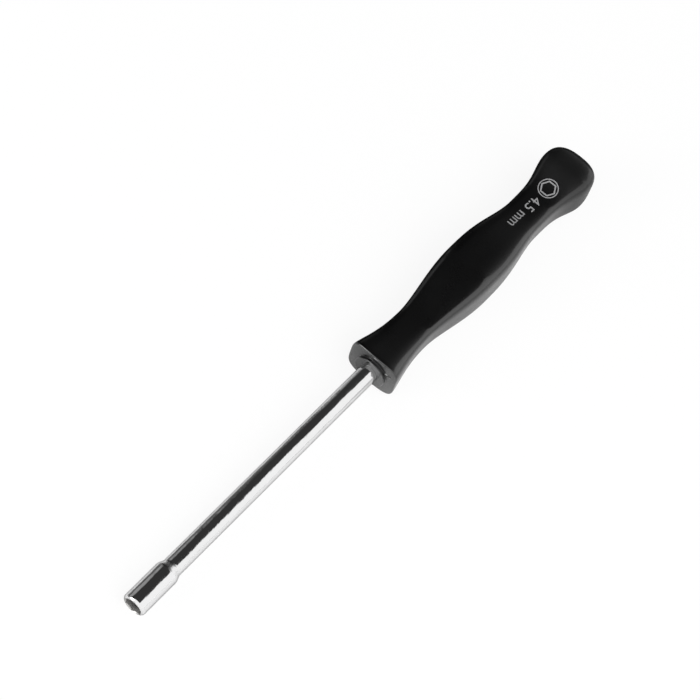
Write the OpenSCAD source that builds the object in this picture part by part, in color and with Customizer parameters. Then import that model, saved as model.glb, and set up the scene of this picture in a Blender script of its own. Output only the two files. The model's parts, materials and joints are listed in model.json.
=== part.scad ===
// Carburetor adjustment tool: a plated shaft with a six-point socket in a moulded handle.
// The socket's mouth is at the origin, the tool runs along +X, and +Z is up from a broad face of the handle.

/* [Socket] */
// Width across the flats of the hex recess
hex_flats = 4.6; // [4.4:0.1:4.8]
// Depth of the hex recess
hex_depth = 7; // [5:0.5:8]
// Lead-in round the mouth of the recess
lead_in = 0.3; // [0.1:0.05:0.4]
// Diameter of the round hole below the hex
relief_d = 4.5; // [3.6:0.1:4.5]
// Length of the round hole's straight wall
relief_len = 3.4; // [2:0.1:4]
// Angle of the drill point at the bottom of the round hole
drill_angle = 118; // [100:1:140]
// Diameter of the socket barrel
barrel_d = 6.6; // [6.4:0.1:7.4]
// Length of the socket barrel
barrel_len = 11.8; // [11:0.1:16]
// Rounding of the barrel's front rim
rim_r = 0.9; // [0.2:0.05:0.95]
// Length of the eased neck from barrel to shaft
neck_len = 2.4; // [1:0.1:5]

/* [Shaft] */
// Diameter of the shaft
shaft_d = 5.3; // [4.8:0.1:6]
// Length from the mouth of the socket to the front face of the handle
reach = 90; // [60:1:150]
// Length of the tang inside the handle
tang_len = 46; // [34:1:60]
// Bevel at the end of the tang
tang_bevel = 0.8; // [0.2:0.1:1.5]
// Span over the two wings pressed out of the tang
wing_span = 8; // [6.4:0.1:8.4]
// Thickness of the wings
wing_t = 2.2; // [1.5:0.1:3]
// Length of the wings
wing_len = 7; // [4:0.5:10]
// Distance from the end of the tang to the wings
wing_back = 8; // [4:0.5:12]

/* [Handle] */
// Length of the handle
handle_len = 88; // [80:1:110]
// Thickness of the handle as a share of its width
flatness = 0.91; // [0.85:0.01:1]
// Power of the section: 2 is an ellipse, and more is squarer
section_power = 4.5; // [3:0.1:6]
// Width at the flare behind the front face
flare_w = 14.6; // [13:0.1:17]
// Width at the front waist
front_waist_w = 10.3; // [9.6:0.1:12]
// Width at the belly
belly_w = 15.2; // [13:0.1:18]
// Width at the rear waist
rear_waist_w = 10.5; // [9.6:0.1:12]
// Width at the bulb
bulb_w = 15.4; // [13:0.1:18]
// Distance from the front face to the front waist
front_waist_x = 16.2; // [12:0.1:20]
// Distance from the front face to the belly
belly_x = 39.3; // [34:0.1:46]
// Distance from the front face to the rear waist
rear_waist_x = 62.7; // [56:0.1:68]
// Length of the domed end behind the bulb's widest place
dome_len = 7.8; // [5:0.1:10]
// Power of the dome's curve: 2 is a quarter ellipse, and more is blunter
dome_power = 2.3; // [2:0.1:4]
// Power of the section at the very end of the dome
end_power = 2.2; // [2:0.1:4]
// Rounding of the front edge
edge_r = 0.4; // [0.2:0.1:1.5]
// Diameter of the boss round the shaft
boss_d = 9.4; // [8:0.1:10]
// Height of the boss
boss_h = 0.9; // [0.4:0.1:1.5]
// Rounding of the boss's front edge
boss_edge_r = 0.1; // [0.05:0.05:0.4]
// Length of the stub that the moulding gate leaves on the front face
gate_len = 1.9; // [1:0.1:2.5]
// Width of the gate stub
gate_w = 0.7; // [0.4:0.1:1]
// Height of the gate stub
gate_h = 0.25; // [0.1:0.05:0.4]
// Place of the gate stub across the front face
gate_y = -4.7; // [-5.4:0.1:5.4]
// Place of the gate stub up the front face
gate_z = 3.1; // [-4:0.1:4]

/* [Hidden] */
$fn = 96;
plastic = [0.06, 0.06, 0.065];
plated_steel = [0.82, 0.83, 0.85];

// How far a cutting or joining solid runs past the face that it meets
overlap = 1;
// Corner-to-corner size of the hex recess
hex_corners = hex_flats / cos(30);
// Number of points round a section, steps along the grip, over each rounded end, and along the neck
section_points = 48;
grip_steps = 44;
edge_steps = 4;
dome_steps = 12;
neck_steps = 10;

// The side curve runs level through five stations. Each is its place from the front face, its half width,
// and the lean of the span before it: below 1 the span turns early, above 1 late.
bulb_x = handle_len - dome_len;
stations = [
  [edge_r, flare_w / 2, 1],
  [front_waist_x, front_waist_w / 2, 0.63],
  [belly_x, belly_w / 2, 0.85],
  [rear_waist_x, rear_waist_w / 2, 1.41],
  [bulb_x, bulb_w / 2, 1.76]
];

function ease(share, lean) = (1 - cos(180 * pow(share, lean))) / 2;

// Half width at x between station i and the one before it
function span_half(x, i) =
  let (from = stations[i - 1], to = stations[i])
  from[1] + (to[1] - from[1]) * ease((x - from[0]) / (to[0] - from[0]), to[2]);

// Half width at x along the grip, from the first station to the last
function grip_half(x, i = 1) =
  (x <= stations[i][0] || i == len(stations) - 1) ? span_half(x, i) : grip_half(x, i + 1);

// Rings of the handle as [x, half width, amount that the rounded front edge takes off, section power]
edge_rings = [
  for (i = [0:edge_steps - 1])
    let (a = 90 * i / edge_steps)
    [edge_r * (1 - cos(a)), flare_w / 2, edge_r * (1 - sin(a)), section_power]
];
grip_rings = [
  for (i = [0:grip_steps])
    let (x = edge_r + (bulb_x - edge_r) * i / grip_steps)
    [x, grip_half(x), 0, section_power]
];
dome_rings = [
  for (i = [1:dome_steps - 1])
    let (
      share = sin(90 * i / dome_steps),
      half_w = bulb_w / 2 * pow(1 - pow(share, dome_power), 1 / dome_power),
      power = section_power + (end_power - section_power) * pow(share, 2)
    )
    [bulb_x + dome_len * share, half_w, 0, power]
];
rings = concat(edge_rings, grip_rings, dome_rings);

function signed_power(value, power) = sign(value) * pow(abs(value), power);

// Superellipse section: |y / half width|^power + |z / half thickness|^power = 1
function section(x, half_w, half_t, power) = [
  for (i = [0:section_points - 1])
    let (a = 360 * i / section_points)
    [
      x,
      half_w * signed_power(cos(a), 2 / power),
      half_t * signed_power(sin(a), 2 / power)
    ]
];

// Two triangles between neighbouring points of two neighbouring rings
function skin(ring, i) =
  let (
    n = section_points,
    next = (i + 1) % n,
    a = ring * n + i,
    b = ring * n + next
  )
  [[a, a + n, b], [b, a + n, b + n]];

// Solid of the grip with its front face at x = 0
module grip() {
  last = len(rings) * section_points;
  points = concat(
    [for (r = rings) each section(r[0], r[1] - r[2], r[1] * flatness - r[2], r[3])],
    [[handle_len, 0, 0]]
  );
  front = [[for (i = [0:section_points - 1]) i]];
  sides = [for (ring = [0:len(rings) - 2], i = [0:section_points - 1]) each skin(ring, i)];
  rear = [
    for (i = [0:section_points - 1])
      [last - section_points + i, last, last - section_points + (i + 1) % section_points]
  ];
  polyhedron(points = points, faces = concat(front, sides, rear));
}

// Turns a solid made along +Z to lie along +X
module along_x() {
  rotate([0, 90, 0]) children();
}

// Half profile of the front of a round bar, with its edge rounded
module rounded_front(bar_r, round_r) {
  square([bar_r - round_r, round_r + overlap]);
  intersection() {
    translate([bar_r - round_r, round_r]) circle(r = round_r);
    square([bar_r, round_r + overlap]);
  }
}

// Outside of the socket barrel, neck, shaft and tang, turned about the tool's axis
module rod() {
  barrel_r = barrel_d / 2;
  shaft_r = shaft_d / 2;
  rod_end = reach + tang_len;
  neck = [
    for (i = [0:neck_steps])
      let (share = i / neck_steps)
      [barrel_r + (shaft_r - barrel_r) * ease(share, 1), barrel_len + neck_len * share]
  ];
  tang = [[shaft_r, rod_end - tang_bevel], [shaft_r - tang_bevel, rod_end], [0, rod_end]];
  along_x() rotate_extrude() {
    rounded_front(barrel_r, rim_r);
    polygon(concat([[0, rim_r], [barrel_r, rim_r]], neck, tang));
  }
}

// Two flat ears that a press squeezes out of the tang
module wings() {
  ear = wing_span / 2;
  slope = (wing_span - shaft_d) / 2;
  start = reach + tang_len - wing_back - wing_len;
  translate([start, 0, 0]) linear_extrude(wing_t, center = true) polygon([
    [0, 0],
    [slope, ear],
    [wing_len - slope, ear],
    [wing_len, 0],
    [wing_len - slope, -ear],
    [slope, -ear]
  ]);
}

// Hex recess with its lead-in, and the drilled hole below it
module recess() {
  hole_end = hex_depth + relief_len;
  along_x() {
    translate([0, 0, -overlap]) cylinder(d = hex_corners, h = hex_depth + overlap, $fn = 6);
    translate([0, 0, -lead_in]) cylinder(d1 = hex_corners + 2 * lead_in, d2 = hex_corners - 2 * lead_in,
      h = 2 * lead_in);
    translate([0, 0, hex_depth - overlap]) cylinder(d = relief_d, h = relief_len + overlap);
    translate([0, 0, hole_end]) cylinder(d1 = relief_d, d2 = 0, h = relief_d / 2 / tan(drill_angle / 2));
  }
}

// Low round collar moulded on the handle's front face
module boss() {
  boss_r = boss_d / 2;
  translate([-boss_h, 0, 0]) along_x() rotate_extrude() {
    rounded_front(boss_r, boss_edge_r);
    translate([0, boss_edge_r]) square([boss_r, boss_h - boss_edge_r + overlap]);
  }
}

// Low stub with round ends, where the moulding was cut from its gate
module gate_stub() {
  end_y = (gate_len - gate_w) / 2;
  translate([-gate_h, gate_y, gate_z]) along_x() linear_extrude(gate_h + overlap) {
    square([gate_w, 2 * end_y], center = true);
    translate([0, end_y]) circle(d = gate_w);
    translate([0, -end_y]) circle(d = gate_w);
  }
}

module handle() {
  color(plastic) difference() {
    translate([reach, 0, 0]) {
      grip();
      boss();
      gate_stub();
    }
    rod();
    wings();
  }
}

module shaft() {
  color(plated_steel) difference() {
    union() {
      rod();
      wings();
    }
    recess();
  }
}

handle();
shaft();
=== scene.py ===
"""Looks of a carburetor adjustment tool: a black moulded handle, a plated shaft and printed marks.

Everything is in metres in the frame of the CAD model: the middle of the socket's mouth is the origin,
the tool runs along +X, and +Z is up from a broad face of the handle.
"""
import json

import bmesh
import bpy
import numpy as np
from mathutils import Matrix, Vector


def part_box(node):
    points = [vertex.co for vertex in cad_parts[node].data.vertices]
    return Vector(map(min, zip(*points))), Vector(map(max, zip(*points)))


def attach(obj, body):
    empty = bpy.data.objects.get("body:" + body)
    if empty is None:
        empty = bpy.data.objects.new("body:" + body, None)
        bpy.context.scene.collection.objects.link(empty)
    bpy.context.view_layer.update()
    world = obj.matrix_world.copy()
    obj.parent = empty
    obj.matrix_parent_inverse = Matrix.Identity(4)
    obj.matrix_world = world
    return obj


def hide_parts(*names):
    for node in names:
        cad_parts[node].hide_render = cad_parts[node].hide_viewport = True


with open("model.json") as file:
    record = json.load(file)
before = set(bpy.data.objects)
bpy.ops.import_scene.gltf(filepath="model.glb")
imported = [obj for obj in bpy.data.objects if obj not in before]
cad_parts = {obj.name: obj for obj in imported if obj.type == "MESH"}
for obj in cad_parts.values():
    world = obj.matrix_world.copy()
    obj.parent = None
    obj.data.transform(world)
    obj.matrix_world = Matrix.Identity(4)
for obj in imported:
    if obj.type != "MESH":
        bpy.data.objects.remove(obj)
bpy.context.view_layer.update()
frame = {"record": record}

MM = 0.001

# Sizes that the frame gives
mounts = {mount["name"]: mount for mount in frame["record"]["mounts"]}
barrel, relief = mounts["socket_barrel"], mounts["relief_bore"]
handle_low, handle_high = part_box("handle")
shaft_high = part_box("shaft")[1]
BARREL_R = barrel["dims"]["r_mm"] * MM
RELIEF_R = relief["dims"]["r_mm"] * MM
RELIEF_LEN = relief["dims"]["length_mm"] * MM
HEX_DEPTH = relief["pos_m"][0] - RELIEF_LEN / 2
TANG_END = shaft_high.x
WING_HALF = shaft_high.y
HANDLE_END = handle_high.x
BULB_HALF_W = handle_high.y
FLATNESS = handle_high.z / handle_high.y

# Socket and shaft
HEX_APOTHEM = 2.3 * MM
DRILL_ANGLE = np.radians(118)
DRILL_DEPTH = RELIEF_R / np.tan(DRILL_ANGLE / 2)
RIM_R = 0.9 * MM
BARREL_LEN = 11.8 * MM
NECK_LEN = 2.4 * MM
NECK_END = BARREL_LEN + NECK_LEN
SHAFT_R = 2.65 * MM
TANG_BEVEL = 0.8 * MM
WING_HALF_T = 1.1 * MM
WING_LEN = 7 * MM
WING_BACK = 8 * MM
WING_START = TANG_END - WING_BACK - WING_LEN
ROD_END = WING_START - 1 * MM

# Handle
BOSS_R = 4.7 * MM
BOSS_H = 0.9 * MM
BOSS_EDGE_R = 0.2 * MM
BOSS_FOOT_R = 0.05 * MM
LIP_R = 0.08 * MM
BORE_GAP = 0.01 * MM
FRONT_FACE = handle_low.x + BOSS_H
FACE_CROWN = 0.62 * MM
FACE_CORNER_R = 8.2 * MM
EDGE_R = 0.4 * MM
DOME_LEN = 7.8 * MM
DOME_POWER = 2.3
END_POWER = 2.2
BULB_X = HANDLE_END - DOME_LEN

# Stations along the grip at the flare, front waist, belly, rear waist and bulb. A lean is that of the span
# before the station: below 1 the span turns early, above 1 late.
STATION_X = np.array([FRONT_FACE + EDGE_R, FRONT_FACE + 16.2 * MM, FRONT_FACE + 39.3 * MM,
                      FRONT_FACE + 62.7 * MM, BULB_X])
STATION_HALF_W = np.array([7.4 * MM, 5.18 * MM, 7.66 * MM, 5.28 * MM, BULB_HALF_W - 0.05 * MM])
STATION_POWER = np.array([4.5, 5.2, 5.2, 5.2, 5])
STATION_FLATNESS = np.array([0.85, FLATNESS, FLATNESS, FLATNESS, FLATNESS])
WIDTH_LEAN = np.array([1, 0.63, 0.85, 1.41, 1.76])
POWER_LEAN = np.array([1, 2, 1, 1, 2])
EVEN_LEAN = np.ones(5)

# Scar that the moulding gate leaves on the front face: place, half length, half breadth and height
GATE_Y = -4.7 * MM
GATE_Z = 3.1 * MM
GATE_HALF_L = 1.1 * MM
GATE_HALF_B = 0.38 * MM
GATE_H = 0.3 * MM

# Printed marks on the middle line of the upper broad face
SIGN_X = 161.8 * MM
SIGN_R = 2.8 * MM
SIGN_LINE = 0.27 * MM
SIGN_HEX_R = 2.32 * MM
SIGN_HEX_LINE = 0.38 * MM
SIGN_STEPS = 144
NUMBER_START_X = 157.8 * MM
NUMBER_FOOT_Y = 1.4 * MM
NUMBER_H = 2.8 * MM
INK_PROUD = 0.025 * MM
INK_SUNK = 0.06 * MM

# Where the palm begins to dull the handle, and where it is dull all round
PALM_START = 154 * MM
PALM_FULL = 170 * MM

# Grid of the lofted pieces. The count round a ring is a multiple of 12, so that the hex has its corners.
AROUND = 192
ANGLE = np.linspace(0, 2 * np.pi, AROUND, endpoint=False)
COS, SIN = np.cos(ANGLE), np.sin(ANGLE)
CREASE = np.radians(32)


class Signal:
    """A shader socket on which Python's operators work: each adds one Math node to the socket's tree."""

    def __init__(self, graph, socket):
        self.graph = graph
        self.socket = socket

    def math(self, operation, first, second):
        """What a Math node of that operation makes of two values."""
        values = {"Value": first, "Value_001": second}
        return self.graph.add("ShaderNodeMath", {"operation": operation}, values)

    def __add__(self, other):
        return self.math("ADD", self, other)

    def __sub__(self, other):
        return self.math("SUBTRACT", self, other)

    def __rsub__(self, other):
        return self.math("SUBTRACT", other, self)

    def __mul__(self, other):
        return self.math("MULTIPLY", self, other)

    def __gt__(self, other):
        return self.math("GREATER_THAN", self, other)

    def __lt__(self, other):
        return self.math("LESS_THAN", self, other)

    __radd__ = __add__
    __rmul__ = __mul__

    def larger(self, other):
        """The larger of two values."""
        return self.math("MAXIMUM", self, other)


class Graph:
    """The emptied node tree of a material or a world."""

    def __init__(self, owner):
        owner.use_nodes = True
        self.tree = owner.node_tree
        self.tree.nodes.clear()

    def add(self, kind, settings=None, sockets=None, out=None):
        """Adds a node: its settings first, then the values or links of its sockets.

        Gives the output whose identifier is out, or else the first one, if the node has any.
        """
        node = self.tree.nodes.new(kind)
        for name, value in (settings or {}).items():
            setattr(node, name, value)
        inputs = {socket.identifier: socket for socket in node.inputs}
        for name, value in (sockets or {}).items():
            if isinstance(value, Signal):
                self.tree.links.new(value.socket, inputs[name])
            else:
                inputs[name].default_value = value
        outputs = {socket.identifier: socket for socket in node.outputs}
        if not outputs:
            return None
        return Signal(self, outputs[out] if out else node.outputs[0])

    def place(self):
        """Object coordinates of the shaded point."""
        return self.add("ShaderNodeTexCoord", out="Object")

    def axis(self, vector, name):
        """The coordinate of a vector along the axis of that name."""
        return self.add("ShaderNodeSeparateXYZ", None, {"Vector": vector}, name)

    def ray(self, kind):
        """1 for rays of that kind and 0 for others."""
        return self.add("ShaderNodeLightPath", out="Is " + kind + " Ray")

    def noise(self, place, size, detail=2, stretch=(1, 1, 1)):
        """Noise with features of about that size, stretched by those factors along X, Y and Z."""
        scale = [1 / factor for factor in stretch]
        scaled = self.add("ShaderNodeMapping", None, {"Vector": place, "Scale": scale})
        sockets = {"Vector": scaled, "Scale": 1 / size, "Detail": detail}
        return self.add("ShaderNodeTexNoise", None, sockets, "Fac")

    def blend(self, share, first, second):
        """Colour that goes from first to second as share goes from 0 to 1."""
        sockets = {"Factor_Float": share, "A_Color": first, "B_Color": second}
        return self.add("ShaderNodeMix", {"data_type": "RGBA"}, sockets, "Result_Color")

    def ramp(self, value, low, high):
        """0 below low and 1 above high, with a smooth step between."""
        sockets = {"Value": value, "From Min": low, "From Max": high}
        return self.add("ShaderNodeMapRange", {"interpolation_type": "SMOOTHSTEP"}, sockets)

    def band(self, value, rise, fall):
        """0, then 1 after a smooth step over the range rise, and 0 again after the range fall."""
        return self.ramp(value, *rise) * (1 - self.ramp(value, *fall))

    def bump(self, height, distance):
        """Normal of a surface that stands up by height times distance."""
        return self.add("ShaderNodeBump", None, {"Height": height, "Distance": distance})

    def surface(self, sockets):
        """Closes a material with a Principled BSDF."""
        shader = self.add("ShaderNodeBsdfPrincipled", None, sockets)
        self.add("ShaderNodeOutputMaterial", None, {"Surface": shader})


def grey(shade):
    """Opaque grey, from 0 for black to 1 for white."""
    return (shade, shade, shade, 1)


# Finishes

def black_plastic():
    """Satin black moulding with a fine even grain, broad faint patches of more polish, and a few scuffs.

    The palm has dulled the bulb.
    """
    material = bpy.data.materials.new("black_plastic")
    graph = Graph(material)
    place = graph.place()
    grain = graph.noise(place, 0.16 * MM)
    mottle = graph.noise(place, 0.5 * MM)
    patches = graph.noise(place, 5 * MM, detail=3)
    scuffs = graph.ramp(graph.noise(place, 0.5 * MM, detail=4, stretch=(9, 1, 1)), 0.66, 0.74)
    palm = graph.ramp(graph.axis(place, "X"), PALM_START, PALM_FULL)
    graph.surface({
        "Base Color": graph.blend(patches, (0.0008, 0.0008, 0.0009, 1), (0.0018, 0.0018, 0.0019, 1)),
        "Roughness": 0.22 + 0.08 * patches + 0.05 * grain + 0.06 * scuffs + 0.2 * palm,
        "Coat Weight": 1 - 0.15 * patches - 0.2 * scuffs - 0.4 * palm,
        "Coat Roughness": 0.09,
        "Coat IOR": 1.58,
        "Normal": graph.bump(mottle + 0.2 * grain + 0.06 * scuffs, 0.025 * MM),
    })
    return material


def plated_steel():
    """Bright plating over drawn rod, with long shallow waves, small dents and fine draw lines.

    The swaged neck is less bright, and the wall of the recess is duller plating with painted shade that
    grows darker with depth.
    """
    material = bpy.data.materials.new("plated_steel")
    graph = Graph(material)
    place = graph.place()
    waves = graph.noise(place, 2.2 * MM, stretch=(5, 1, 1))
    dents = graph.noise(place, 0.9 * MM, detail=3, stretch=(2.5, 1, 1))
    lines = graph.noise(place, 0.12 * MM, stretch=(60, 1, 1))
    clouds = graph.noise(place, 4 * MM, detail=4)
    off_axis = {"Vector": place, "Vector_001": (0, 1, 1)}
    across = graph.add("ShaderNodeVectorMath", {"operation": "MULTIPLY"}, off_axis, "Vector")
    radius = graph.add("ShaderNodeVectorMath", {"operation": "LENGTH"}, {"Vector": across}, "Value")
    along = graph.axis(place, "X")
    inside = (radius < BARREL_R - 0.6 * MM) * (along > 0.03 * MM) * (along < BARREL_LEN)
    neck = graph.band(along, (BARREL_LEN - 0.4 * MM, BARREL_LEN + 0.6 * MM),
                      (NECK_END - 0.8 * MM, NECK_END + 0.6 * MM))
    bright = graph.blend(clouds, grey(0.84), (0.9, 0.9, 0.905, 1))
    # Painted shade: the recess wall's colour goes darker with depth, on top of its duller plating.
    painted_depth_shade = graph.ramp(along + 2 * MM * clouds, 0.8 * MM, 4 * MM)
    dull = graph.blend(painted_depth_shade, (0.5, 0.495, 0.485, 1), (0.13, 0.127, 0.123, 1))
    graph.surface({
        "Base Color": graph.blend(inside, bright, dull),
        "Metallic": 1 - 0.35 * inside,
        "Specular Tint": grey(0.4),
        "Roughness": 0.045 + 0.04 * clouds + 0.03 * lines + 0.26 * inside + 0.14 * neck,
        "Normal": graph.bump(waves + 0.3 * dents + 0.01 * lines, 0.09 * MM),
    })
    return material


def printed_ink():
    """Silver-white pad print: thin and a little uneven."""
    material = bpy.data.materials.new("printed_ink")
    graph = Graph(material)
    cover = graph.noise(graph.place(), 0.22 * MM, detail=3)
    graph.surface({
        "Base Color": graph.blend(cover, (0.15, 0.15, 0.153, 1), (0.38, 0.38, 0.385, 1)),
        "Roughness": 0.42 + 0.2 * cover,
    })
    return material


# Meshes

def finished(name, mesh, material):
    """A piece of the object from its mesh, smooth but for edges sharper than CREASE."""
    mesh.shade_smooth()
    mesh.set_sharp_from_angle(angle=CREASE)
    mesh.materials.append(material)
    piece = bpy.data.objects.new(name, mesh)
    bpy.context.scene.collection.objects.link(piece)
    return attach(piece, "root")


def mesh_piece(name, points, faces, material):
    """A piece from an array of points and a list of the points round each face."""
    mesh = bpy.data.meshes.new(name)
    mesh.from_pydata(points, [], faces)
    return finished(name, mesh, material)


def grid_faces(rows, columns, wrap_rows=False):
    """Quads between neighbouring points of a grid of rows that each close on themselves."""
    first = np.arange(rows if wrap_rows else rows - 1)[:, None] * columns
    after = (first + columns) % (rows * columns)
    here, there = np.arange(columns), (np.arange(columns) + 1) % columns
    quads = np.stack([first + here, first + there, after + there, after + here], axis=-1)
    return quads.reshape(-1, 4)


def lofted(name, rings, ends, material):
    """Closed skin through rings about X: (x, r cos a, r sin a), with x and r for each ring and angle a.

    The first and last ring close on the X axis at the two places in ends.
    """
    x, radius = rings
    points = np.stack([x, radius * COS, radius * SIN], axis=-1).reshape(-1, 3)
    poles = [[ends[0], 0, 0], [ends[1], 0, 0]]
    here, there = np.arange(AROUND), (np.arange(AROUND) + 1) % AROUND
    total = len(points)
    last = total - AROUND
    front = np.stack([there, here, np.full(AROUND, total)], axis=-1)
    rear = np.stack([last + here, last + there, np.full(AROUND, total + 1)], axis=-1)
    faces = grid_faces(len(radius), AROUND).tolist() + front.tolist() + rear.tolist()
    return mesh_piece(name, np.concatenate([points, poles]), faces, material)


# Rings of the turned and lofted forms, as arrays of x and of radius with a row for each ring

def level(values):
    """Rings on which a value is the same at every angle."""
    return np.repeat(np.asarray(values)[:, None], AROUND, axis=1)


def turned(*stretches):
    """Rings of a turned form, from stretches of its profile as rows of (x, radius)."""
    x, radius = np.concatenate(stretches).T
    return level(x), level(radius)


def stacked(*parts):
    """Rings of several parts one after another."""
    x, radius = zip(*parts)
    return np.concatenate(x), np.concatenate(radius)


def arc(x, r, radius, start, end, steps):
    """Rows of (x, r) on a rounded edge: centre + radius (cos, sin) of degrees from start to end."""
    a = np.radians(np.linspace(start, end, steps))
    return np.stack([x + radius * np.cos(a), r + radius * np.sin(a)], axis=-1)


def line(x, r, steps):
    """Rows of (x, r) on a straight stretch, evenly from the first pair of values to the last."""
    return np.stack([np.linspace(*x, steps), np.linspace(*r, steps)], axis=-1)


def superellipse(half_w, half_t, power):
    """Radius of rounded squares at angle a, one a row: (|cos a / w|^p + |sin a / t|^p)^(-1/p)."""
    rows = np.broadcast_arrays(*np.atleast_1d(half_w, half_t, power))
    half_w, half_t, power = (row[:, None] for row in rows)
    return (np.abs(COS / half_w) ** power + np.abs(SIN / half_t) ** power) ** (-1 / power)


def hexagon(apothem, angle=ANGLE):
    """Radius of a hexagon with a flat at angle 0: apothem / cos(turn from the nearest flat's middle)."""
    turn = (angle + np.pi / 6) % (np.pi / 3) - np.pi / 6
    return apothem / np.cos(turn)


# Handle

def by_station(x, values, leans):
    """A value along the grip: from + (to - from)(1 - cos(pi share^lean)) / 2 between two stations."""
    i = np.clip(np.searchsorted(STATION_X, x), 1, len(STATION_X) - 1)
    share = np.clip((x - STATION_X[i - 1]) / (STATION_X[i] - STATION_X[i - 1]), 0, 1)
    rise = (1 - np.cos(np.pi * share ** leans[i])) / 2
    return values[i - 1] + (values[i] - values[i - 1]) * rise


def section(x):
    """Half width, half thickness and power of the grip's section at each x."""
    half_w = by_station(x, STATION_HALF_W, WIDTH_LEAN)
    half_t = half_w * by_station(x, STATION_FLATNESS, EVEN_LEAN)
    return half_w, half_t, by_station(x, STATION_POWER, POWER_LEAN)


def handle_top(x, y):
    """Height of the upper broad face: t (1 - |y / w|^p)^(1/p) for half width w and half thickness t."""
    half_w, half_t, power = section(x)
    return half_t * (1 - np.abs(y / half_w) ** power) ** (1 / power)


def crown(radius):
    """How far the front face stands forward: most on the axis, and less with the radius squared."""
    return FACE_CROWN * (1 - (radius / FACE_CORNER_R) ** 2)


# The boss stands on the crowned face.
BOSS_FACE = FRONT_FACE - crown(BOSS_R) - BOSS_H


def tang_rings(gap):
    """Rings of the tang from its end to just before the wings, with the radius grown by gap.

    The wings widen the round section to the larger of the circle and a flat bar,
    min(e / |cos a|, t / |sin a|), whose half span e rises from the axis and falls again along X.
    """
    slope = WING_HALF - SHAFT_R
    wing_end = WING_START + WING_LEN
    knots = np.array([WING_START, WING_START + slope, wing_end - slope, wing_end])
    fine = np.linspace(WING_START + 0.02 * MM, wing_end - 0.02 * MM, 42)
    plain = np.array([TANG_END - TANG_BEVEL, wing_end + 0.5 * MM])
    x = np.concatenate([plain, fine[::-1], [WING_START - 0.5 * MM]])
    half_span = np.interp(x, knots, [0, WING_HALF, WING_HALF, 0], left=0, right=0)[:, None]
    with np.errstate(divide="ignore"):
        bar = np.minimum((half_span + gap) / np.abs(COS), (WING_HALF_T + gap) / np.abs(SIN))
    radius = np.maximum(np.where(half_span > 0, bar, 0), SHAFT_R + gap)
    bevel = np.full((1, AROUND), SHAFT_R - TANG_BEVEL + gap)
    return level(np.concatenate([[TANG_END], x])), np.concatenate([bevel, radius])


def boss_rings():
    """Rings from the plain stretch of the blind hole, over its lip and over the boss to its foot."""
    hole_r = SHAFT_R + BORE_GAP
    lip_x, lip_r = BOSS_FACE + LIP_R, hole_r + LIP_R
    edge_x, edge_r = BOSS_FACE + BOSS_EDGE_R, BOSS_R - BOSS_EDGE_R
    foot_x = BOSS_FACE + BOSS_H - BOSS_FOOT_R
    wall_step = 0.03 * MM
    return turned(
        line((ROD_END, lip_x + 0.5 * MM), (hole_r, hole_r), 8),
        arc(lip_x, lip_r, LIP_R, 270, 180, 6),
        line((BOSS_FACE, BOSS_FACE), (lip_r + 0.1 * MM, edge_r - 0.1 * MM), 6),
        arc(edge_x, edge_r, BOSS_EDGE_R, 180, 90, 7),
        line((edge_x + wall_step, foot_x - wall_step), (BOSS_R, BOSS_R), 4),
        arc(foot_x, BOSS_R + BOSS_FOOT_R, BOSS_FOOT_R, 270, 360, 6),
    )


def face_rings():
    """Rings of the crowned front face from the boss's foot to the flare's outline and round the edge.

    Between the foot and the outline the radius is a straight blend of theirs. The gate's scar stands on
    the face as half an ellipsoid: height times sqrt(1 - (dy / half length)^2 - (dz / half breadth)^2).
    """
    half_w, half_t, power = section(STATION_X[:1])
    outline = superellipse(half_w - EDGE_R, half_t - EDGE_R, power)
    share = np.linspace(0.03, 0.98, 36)[:, None]
    face_r = (BOSS_R + BOSS_FOOT_R) * (1 - share) + outline * share
    off_y, off_z = face_r * COS - GATE_Y, face_r * SIN - GATE_Z
    scar = np.maximum(1 - (off_y / GATE_HALF_L) ** 2 - (off_z / GATE_HALF_B) ** 2, 0)
    face_x = FRONT_FACE - crown(face_r) - GATE_H * scar ** 0.5
    turn = np.radians(np.linspace(0, 90, 10))
    cut = EDGE_R * (1 - np.sin(turn))
    edge_x = FRONT_FACE - crown(outline) + level(EDGE_R * (1 - np.cos(turn)))
    edge_r = superellipse(half_w - cut, half_t - cut, power)
    return stacked((face_x, face_r), (edge_x, edge_r))


def grip_rings():
    """Rings of the grip's section from the front edge to the bulb's widest place."""
    x = np.linspace(STATION_X[0], BULB_X, 150)
    return level(x), superellipse(*section(x))


def dome_rings():
    """Rings of the domed end: the section shrinks by (1 - share^p)^(1/p) and turns nearly elliptic."""
    share = np.sin(np.radians(np.linspace(0, 90, 42)))[1:-1]
    half_w, half_t, power = section(STATION_X[-1:])
    shrink = (1 - share ** DOME_POWER) ** (1 / DOME_POWER)
    turning = power + (END_POWER - power) * share ** 2
    return level(BULB_X + DOME_LEN * share), superellipse(half_w * shrink, half_t * shrink, turning)


def handle_skin():
    """The handle from the bottom of its blind hole, out over the boss, and along the grip to the dome."""
    rings = stacked(tang_rings(BORE_GAP), boss_rings(), face_rings(), grip_rings(), dome_rings())
    return lofted("handle_skin", rings, (TANG_END, HANDLE_END), black_plastic())


# Shaft

def drilled_rings():
    """Rings of the drilled hole below the hex, from near its point to the bottom of the hex."""
    hole_end = HEX_DEPTH + RELIEF_LEN
    return turned(
        line((hole_end + 0.9 * DRILL_DEPTH, hole_end), (0.1 * RELIEF_R, RELIEF_R), 6),
        line((HEX_DEPTH + 0.9 * RELIEF_LEN, HEX_DEPTH), (RELIEF_R, RELIEF_R), 6),
    )


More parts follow.
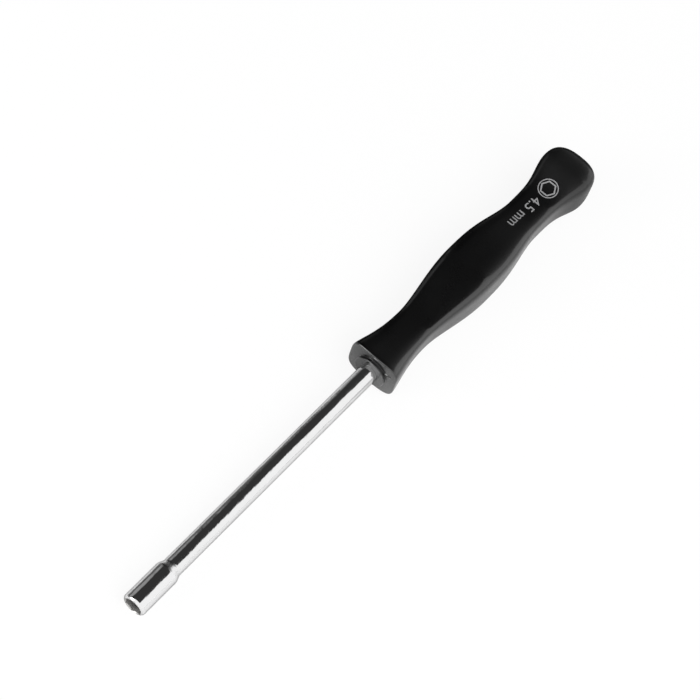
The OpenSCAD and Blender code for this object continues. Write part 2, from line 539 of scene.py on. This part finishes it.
def mouth_rings():
    """Rings of the hex recess from its bottom to the mouth, and over the rounded rim to the barrel's side.

    A lead-in cone, r = corner radius - x, widens the flats. The rim is a quarter round of radius R about
    (R, barrel radius - R), which starts where it meets the lead-in or the corners of the hex.
    """
    hex_r = hexagon(HEX_APOTHEM)
    corner_r = hex_r.max()
    round_r = BARREL_R - RIM_R
    offset = BARREL_R - corner_r
    depth = RIM_R - (offset + np.sqrt(2 * RIM_R ** 2 - offset ** 2)) / 2
    wall_x = np.concatenate([
        np.linspace(HEX_DEPTH, 0.5 * MM, 14),
        np.linspace(0.4 * MM, depth + 0.03 * MM, 8),
    ])
    wall_r = np.maximum(hex_r, (corner_r - wall_x)[:, None])
    start = np.arcsin((np.maximum(hex_r, corner_r - depth) - round_r) / RIM_R)
    turn = start + (np.pi / 2 - start) * np.linspace(0, 1, 16)[:, None]
    rim = RIM_R * (1 - np.cos(turn)), round_r + RIM_R * np.sin(turn)
    return stacked((level(wall_x), wall_r), rim)


def rod_rings():
    """Rings of the barrel's side, the eased neck and the rod, to just before the wings of the tang."""
    share = np.linspace(0, 1, 16)
    ease = (1 - np.cos(np.pi * share)) / 2
    neck = np.stack([BARREL_LEN + NECK_LEN * share, BARREL_R + (SHAFT_R - BARREL_R) * ease], axis=-1)
    return turned(
        line((RIM_R + 0.5 * MM, BARREL_LEN - 0.2 * MM), (BARREL_R, BARREL_R), 12),
        neck,
        line((NECK_END + 0.3 * MM, BOSS_FACE), (SHAFT_R, SHAFT_R), 60),
        line((BOSS_FACE + 1 * MM, ROD_END), (SHAFT_R, SHAFT_R), 10),
    )


def shaft_skin():
    """The shaft from its drill point, out of the recess, over the barrel and along the rod to the tang."""
    tang_x, tang_r = tang_rings(0)
    rings = stacked(drilled_rings(), mouth_rings(), rod_rings(), (tang_x[::-1], tang_r[::-1]))
    drill_point = HEX_DEPTH + RELIEF_LEN + DRILL_DEPTH
    return lofted("shaft_skin", rings, (drill_point, TANG_END), plated_steel())


# Printed marks

def on_face(x, y, height):
    """Points at that height above the upper broad face of the handle."""
    return np.stack([x, y, handle_top(x, y) + height], axis=-1)


def ink_band(inner, outer, angle):
    """Closed band round the sign's middle between two radii at each angle, with a square section."""
    reach = np.stack([inner, inner, outer, outer], axis=-1)
    height = np.broadcast_to([-INK_SUNK, INK_PROUD, INK_PROUD, -INK_SUNK], reach.shape)
    x = SIGN_X + reach * np.cos(angle)[:, None]
    y = reach * np.sin(angle)[:, None]
    return on_face(x, y, height).reshape(-1, 3), grid_faces(len(angle), 4, wrap_rows=True)


def hex_sign(material):
    """Sign for the kind of socket: a hexagon line in a round line."""
    angle = np.linspace(0, 2 * np.pi, SIGN_STEPS, endpoint=False)
    apothem = SIGN_HEX_R * np.cos(np.pi / 6)
    circle = np.full(SIGN_STEPS, SIGN_R)
    round_points, round_faces = ink_band(circle - SIGN_LINE, circle, angle)
    hex_line = hexagon(apothem - SIGN_HEX_LINE, angle), hexagon(apothem, angle)
    hex_points, hex_faces = ink_band(*hex_line, angle)
    points = np.concatenate([round_points, hex_points])
    faces = np.concatenate([round_faces, hex_faces + len(round_points)])
    return mesh_piece("hex_sign", points, faces.tolist(), material)


def cut_letters(name, text, strip):
    """Mesh of a text of size 1 with faces above and below z = 0, cut across into strips that can bend."""
    curve = bpy.data.curves.new(name, "FONT")
    curve.body = text
    curve.extrude = 0.5
    flat = bpy.data.objects.new(name, curve)
    bpy.context.scene.collection.objects.link(flat)
    bpy.context.view_layer.update()
    far_corner = Vector(flat.bound_box[6])
    form = bmesh.new()
    form.from_mesh(flat.to_mesh())
    bpy.data.objects.remove(flat)
    bmesh.ops.remove_doubles(form, verts=form.verts, dist=1e-5)
    for cut in np.arange(strip, far_corner.x, strip):
        whole = form.verts[:] + form.edges[:] + form.faces[:]
        bmesh.ops.bisect_plane(form, geom=whole, plane_co=(cut, 0, 0), plane_no=(1, 0, 0), dist=1e-6)
    bmesh.ops.recalc_face_normals(form, faces=form.faces)
    mesh = bpy.data.meshes.new(name)
    form.to_mesh(mesh)
    form.free()
    mesh.uv_layers.remove(mesh.uv_layers[0])
    return mesh


def size_number(material):
    """The socket's size as a plain number, read from the sign towards the shaft."""
    mesh = cut_letters("size_number", "4.5 mm", 0.1)
    flat = np.empty(3 * len(mesh.vertices))
    mesh.vertices.foreach_get("co", flat)
    along, up, raised = flat.reshape(-1, 3).T
    size = NUMBER_H / up.max()
    height = np.where(raised > 0, INK_PROUD, -INK_SUNK)
    points = on_face(NUMBER_START_X - along * size, NUMBER_FOOT_Y - up * size, height)
    mesh.vertices.foreach_set("co", points.ravel())
    mesh.update()
    return finished("size_number", mesh, material)


# The object

handle = handle_skin()
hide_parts("handle")

shaft = shaft_skin()
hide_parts("shaft")

ink = printed_ink()
hex_sign(ink)
size_number(ink)


# Stage, light and camera

# The tool lies on the rim of its socket and on the flare of its handle.
REST_SLOPE = (STATION_HALF_W[0] * STATION_FLATNESS[0] - BARREL_R) / (STATION_X[0] - RIM_R)
FLOOR_HALF = 2.0

TOOL_MIDDLE = Vector((FRONT_FACE, 0, 0))
CAMERA_DISTANCE = 0.6767
CAMERA_AZIMUTH = np.radians(-68.555)
CAMERA_ELEVATION = np.radians(60.956)
CAMERA_LENS = 137.474
SENSOR = 36
IMAGE_SIZE = 700
TOOL_SLANT = np.radians(44.785)
MIDDLE_PIXEL = (372.1, 368.99)


def pale_floor():
    """White floor, partly self-lit towards the camera, so that it stays white and keeps shadows.

    In reflections it carries painted light and shade: a grey sheet, darker at the handle and away on the
    far side of the tool, a painted glow on the near side of the shaft, and painted black shadow beyond and
    behind the handle.
    """
    material = bpy.data.materials.new("pale_floor")
    graph = Graph(material)
    place = graph.place()
    x, y = graph.axis(place, "X"), graph.axis(place, "Y")
    seen, mirrored, through = (graph.ray(kind) for kind in ("Camera", "Glossy", "Transmission"))
    slant = x - 0.55 * y
    # Painted light and shade seen only in reflections: greys that darken at the handle and away on the far
    # side,
    # a painted glow on the near side of the shaft, and black painted as shadow beyond and behind the
    # handle.
    grip = graph.ramp(x, 88 * MM, 98 * MM)
    painted_glow_mask = (1 - graph.ramp(y, -12 * MM, 0)) * (1 - grip)
    beyond = graph.ramp(slant, 87.5 * MM, 91 * MM) * graph.ramp(y, -1 * MM, 4 * MM)
    behind = graph.ramp(x, 178 * MM, 182 * MM) * graph.ramp(y, -12 * MM, -6 * MM)
    far = graph.ramp(y, 10 * MM, 50 * MM) * (1 - graph.ramp(slant, 50 * MM, 80 * MM))
    sheet = graph.blend(far, graph.blend(grip, grey(0.76), grey(0.52)), grey(0.18))
    painted_shade_colour = graph.blend(beyond.larger(behind), sheet, grey(0.012))
    plain = graph.add("ShaderNodeBsdfDiffuse", None, {"Color": graph.blend(mirrored, grey(0.92), painted_shade_colour)})
    lit = graph.add("ShaderNodeEmission", None, {"Color": grey(1), "Strength": 1})
    # Camera rays see the evenly bright floor; reflections also see the painted glow on the near side of
    # the shaft.
    share = 0.88 * seen + 0.5 * painted_glow_mask * (mirrored + through)
    mixed = graph.add("ShaderNodeMixShader", None, {"Fac": share, "Shader": plain, "Shader_001": lit})
    graph.add("ShaderNodeOutputMaterial", None, {"Surface": mixed})
    return material


def floor():
    """Flat sheet under the tool: z = -(barrel radius) - slope (x - rim radius)."""
    x = np.array([-FLOOR_HALF, FLOOR_HALF, FLOOR_HALF, -FLOOR_HALF])
    y = np.array([-FLOOR_HALF, -FLOOR_HALF, FLOOR_HALF, FLOOR_HALF])
    z = -BARREL_R - REST_SLOPE * (x - RIM_R)
    mesh = bpy.data.meshes.new("floor")
    mesh.from_pydata(np.stack([x, y, z], axis=-1), [], [[0, 1, 2, 3]])
    mesh.materials.append(pale_floor())
    sheet = bpy.data.objects.new("floor", mesh)
    bpy.context.scene.collection.objects.link(sheet)


def tent():
    """White light tent, open to a dark room behind the tool and overhead.

    A direction's x says where the tool mirrors it: about 0.34 at the tip, 0.45 where the shaft meets the
    handle, 0.5 on the belly, and more on slopes that face the rear. The near edge of the opening moves in
    along the shaft, out at the handle and in again on those slopes. The front edge has a corner. Low down
    the room is lighter, with a dim slit and a gap on the far side, and at the handle it lightens towards
    the near edge.
    """
    world = bpy.data.worlds.new("tent")
    bpy.context.scene.world = world
    graph = Graph(world)
    toward = graph.add("ShaderNodeTexCoord", out="Generated")
    x, y, z = (graph.axis(toward, name) for name in "XYZ")
    along_shaft = graph.ramp(x, 0.33, 0.45)
    at_handle = graph.ramp(x, 0.445, 0.54)
    on_slopes = graph.ramp(x, 0.55, 0.85)
    steps = 0.33 * at_handle - 0.29 * along_shaft - 0.3 * on_slopes
    inward = 0.05 * x + 0.93 * y + 0.35 * z
    near_edge = graph.ramp(inward + steps, -0.26, -0.14)
    front_edge = graph.ramp(x, -0.12, -0.03).larger(graph.ramp(0.78 * x + 0.62 * y, 0, 0.09))
    low = 1 - graph.ramp(z, 0.05, 0.5)
    far_side = y > 0.3
    slit = graph.band(z, (0.2, 0.28), (0.55, 0.62)) * (1 - graph.ramp(x, 0.34, 0.4)) * far_side
    gap = low * graph.band(x, (0.422, 0.448), (0.45, 0.46)) * far_side
    dusk = 0.45 * graph.ramp(x, 0.445, 0.48) * (0.49 - inward)
    dark = near_edge * front_edge * (1 - 0.27 * slit - 0.5 * gap - dusk)
    corner = graph.band(x, (0.45, 0.49), (0.6, 0.7)) * graph.ramp(y, 0.3, 0.5)
    room = graph.blend(corner, graph.blend(low, grey(0.033), grey(0.11)), grey(0.012))
    light = graph.blend(dark * (1 - graph.ray("Camera")), grey(1), room)
    background = graph.add("ShaderNodeBackground", None, {"Color": light, "Strength": 1})
    graph.add("ShaderNodeOutputWorld", None, {"Surface": background})


def soft_lamp(name, place, size, power, in_reflections=False):
    """Square area lamp that lights the tool, with an image in the metal or without one."""
    data = bpy.data.lights.new(name, "AREA")
    data.size = size
    data.energy = power
    lamp = bpy.data.objects.new(name, data)
    lamp.location = place
    lamp.rotation_euler = (TOOL_MIDDLE - Vector(place)).to_track_quat("-Z", "Y").to_euler()
    lamp.visible_glossy = in_reflections
    bpy.context.scene.collection.objects.link(lamp)


def camera():
    """Camera on the line of sight to the tool's middle, turned so that +X runs up at the tool's slant.

    It aims beside that point, by the offset of the point's pixel from the image's middle.
    """
    side, rise = np.cos(CAMERA_ELEVATION), np.sin(CAMERA_ELEVATION)
    toward = Vector((np.sin(CAMERA_AZIMUTH) * side, -np.cos(CAMERA_AZIMUTH) * side, rise))
    place = TOOL_MIDDLE + CAMERA_DISTANCE * toward
    along = (Vector((1, 0, 0)) - toward.x * toward).normalized()
    across = (-toward).cross(along)
    right = along * np.cos(TOOL_SLANT) + across * np.sin(TOOL_SLANT)
    up = along * np.sin(TOOL_SLANT) - across * np.cos(TOOL_SLANT)
    pixel = CAMERA_DISTANCE * SENSOR / CAMERA_LENS / IMAGE_SIZE
    aim = TOOL_MIDDLE - right * (MIDDLE_PIXEL[0] - IMAGE_SIZE / 2) * pixel
    aim += up * (MIDDLE_PIXEL[1] - IMAGE_SIZE / 2) * pixel
    back = (place - aim).normalized()
    right = up.cross(back).normalized()
    up = back.cross(right)
    data = bpy.data.cameras.new("camera")
    data.lens = CAMERA_LENS
    data.sensor_width = SENSOR
    eye = bpy.data.objects.new("camera", data)
    eye.matrix_world = Matrix.Translation(place) @ Matrix((right, up, back)).transposed().to_4x4()
    bpy.context.scene.collection.objects.link(eye)
    bpy.context.scene.camera = eye


floor()
tent()
soft_lamp("side_lamp", (-0.1, -0.8, 1.1), size=1.4, power=14)
soft_lamp("front_lamp", (-0.534, 0.374, 0.289), size=0.4, power=2.5, in_reflections=True)
camera()
bpy.context.scene.view_settings.view_transform = "Standard"
